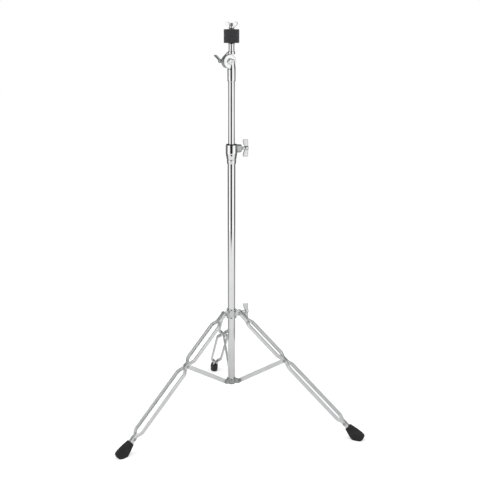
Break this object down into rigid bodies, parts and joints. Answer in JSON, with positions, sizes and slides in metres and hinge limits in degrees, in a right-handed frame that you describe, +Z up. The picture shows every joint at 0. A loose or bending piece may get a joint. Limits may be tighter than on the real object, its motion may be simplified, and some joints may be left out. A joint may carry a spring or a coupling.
{
  "type": "straight cymbal stand",
  "caption": "Straight cymbal stand with a folding double-braced tripod, height clamp, ratchet tilter and felt cymbal seat.",
  "frame": {"origin": "on the floor, on the axis of the base tube", "axes": "+Z up along the tubes, +Y over the back leg, +X to the stand's right as seen from the side opposite the back leg"},
  "size_m": [0.712, 0.6184, 1.1667],
  "materials": {
    "chrome": "bright chrome plate",
    "steel": "zinc-plated steel",
    "black_rubber": "matt moulded rubber",
    "black_nylon": "satin moulded nylon",
    "black_felt": "pressed wool felt"
  },
  "bodies": {
    "column": {"base_tube": "chrome", "base_end_plug": "black_nylon", "spider": "chrome", "left_brace_rivet": "steel", "right_brace_rivet": "steel", "back_brace_rivet": "steel", "height_clamp": "chrome", "clamp_bushing": "black_nylon"},
    "clamp_bolt": {"clamp_wing_bolt": "chrome"},
    "collar": {"leg_collar": "chrome"},
    "collar_bolt": {"collar_wing_bolt": "chrome"},
    "left_leg": {"left_leg_strip_a": "chrome", "left_leg_strip_b": "chrome", "left_leg_top_rivet": "steel", "left_leg_middle_rivet_a": "steel", "left_leg_middle_rivet_b": "steel", "left_leg_foot_rivet": "steel", "left_boot": "black_rubber"},
    "right_leg": {"right_leg_strip_a": "chrome", "right_leg_strip_b": "chrome", "right_leg_top_rivet": "steel", "right_leg_middle_rivet_a": "steel", "right_leg_middle_rivet_b": "steel", "right_leg_foot_rivet": "steel", "right_boot": "black_rubber"},
    "back_leg": {"back_leg_strip_a": "chrome", "back_leg_strip_b": "chrome", "back_leg_top_rivet": "steel", "back_leg_middle_rivet_a": "steel", "back_leg_middle_rivet_b": "steel", "back_leg_foot_rivet": "steel", "back_boot": "black_rubber"},
    "left_brace": {"left_brace": "chrome"},
    "right_brace": {"right_brace": "chrome"},
    "back_brace": {"back_brace": "chrome"},
    "guide": {"tube_guide": "black_nylon"},
    "mast": {"upper_tube": "chrome", "tilter_base": "chrome", "tilter_bolt": "chrome", "tilter_spring": "steel"},
    "tilter_nut": {"tilter_wing_nut": "chrome"},
    "cymbal_holder": {"tilter_arm": "chrome", "cymbal_post": "chrome", "threaded_rod": "steel", "seat_washer": "chrome", "cymbal_sleeve": "black_nylon", "lower_felt": "black_felt", "upper_felt": "black_felt"},
    "top_nut": {"top_wing_nut": "chrome"}
  },
  "joints": [
    {"name": "leg_collar_slide", "type": "slide", "parent": "column", "child": "collar", "axis": [0, 0, 1], "range_m": [0, 0.143]},
    {"name": "left_leg_fold", "type": "hinge", "parent": "collar", "child": "left_leg", "pos_m": [-0.02338, -0.0135, 0.3395], "axis": [0.5, -0.866, 0], "range_deg": [0, 47.5]},
    {"name": "right_leg_fold", "type": "hinge", "parent": "collar", "child": "right_leg", "pos_m": [0.02338, -0.0135, 0.3395], "axis": [0.5, 0.866, 0], "range_deg": [0, 47.5]},
    {"name": "back_leg_fold", "type": "hinge", "parent": "collar", "child": "back_leg", "pos_m": [0, 0.027, 0.3395], "axis": [-1, 0, 0], "range_deg": [0, 47.5]},
    {"name": "left_brace_fold", "type": "hinge", "parent": "column", "child": "left_brace", "pos_m": [-0.01905, -0.011, 0.1255], "axis": [-0.5, 0.866, 0], "range_deg": [0, 57.42]},
    {"name": "right_brace_fold", "type": "hinge", "parent": "column", "child": "right_brace", "pos_m": [0.01905, -0.011, 0.1255], "axis": [-0.5, -0.866, 0], "range_deg": [0, 57.42]},
    {"name": "back_brace_fold", "type": "hinge", "parent": "column", "child": "back_brace", "pos_m": [0, 0.022, 0.1255], "axis": [1, 0, 0], "range_deg": [0, 57.42]},
    {"name": "height_slide", "type": "slide", "parent": "column", "child": "guide", "axis": [0, 0, 1], "range_m": [-0.172, 0.28]},
    {"name": "mast_swivel", "type": "hinge", "parent": "guide", "child": "mast", "pos_m": [0, 0, 0.45], "axis": [0, 0, 1], "continuous": true},
    {"name": "tilt", "type": "hinge", "parent": "mast", "child": "cymbal_holder", "pos_m": [-0.00846, -0.00308, 1.0606], "axis": [0.342, -0.9397, 0], "range_deg": [-75, 120]},
    {"name": "tilter_nut_turn", "type": "hinge", "parent": "mast", "child": "tilter_nut", "pos_m": [-0.00846, -0.00308, 1.0606], "axis": [-0.342, 0.9397, 0], "range_deg": [0, 360]},
    {"name": "clamp_bolt_turn", "type": "hinge", "parent": "column", "child": "clamp_bolt", "pos_m": [0, 0, 0.8205], "axis": [0.9659, 0.2588, 0], "range_deg": [0, 360]},
    {"name": "collar_bolt_turn", "type": "hinge", "parent": "collar", "child": "collar_bolt", "pos_m": [0, 0, 0.3355], "axis": [0.9659, 0.2588, 0], "range_deg": [0, 360]},
    {"name": "top_nut_turn", "type": "hinge", "parent": "cymbal_holder", "child": "top_nut", "pos_m": [0, 0, 1.15], "axis": [0, 0, 1], "continuous": true}
  ],
  "couplings": [
    {"joint": "left_leg_fold", "follows": "leg_collar_slide", "rad_per_m": 5.793},
    {"joint": "right_leg_fold", "follows": "leg_collar_slide", "rad_per_m": 5.793},
    {"joint": "back_leg_fold", "follows": "leg_collar_slide", "rad_per_m": 5.793},
    {"joint": "left_brace_fold", "follows": "leg_collar_slide", "rad_per_m": 7.0026},
    {"joint": "right_brace_fold", "follows": "leg_collar_slide", "rad_per_m": 7.0026},
    {"joint": "back_brace_fold", "follows": "leg_collar_slide", "rad_per_m": 7.0026}
  ]
}
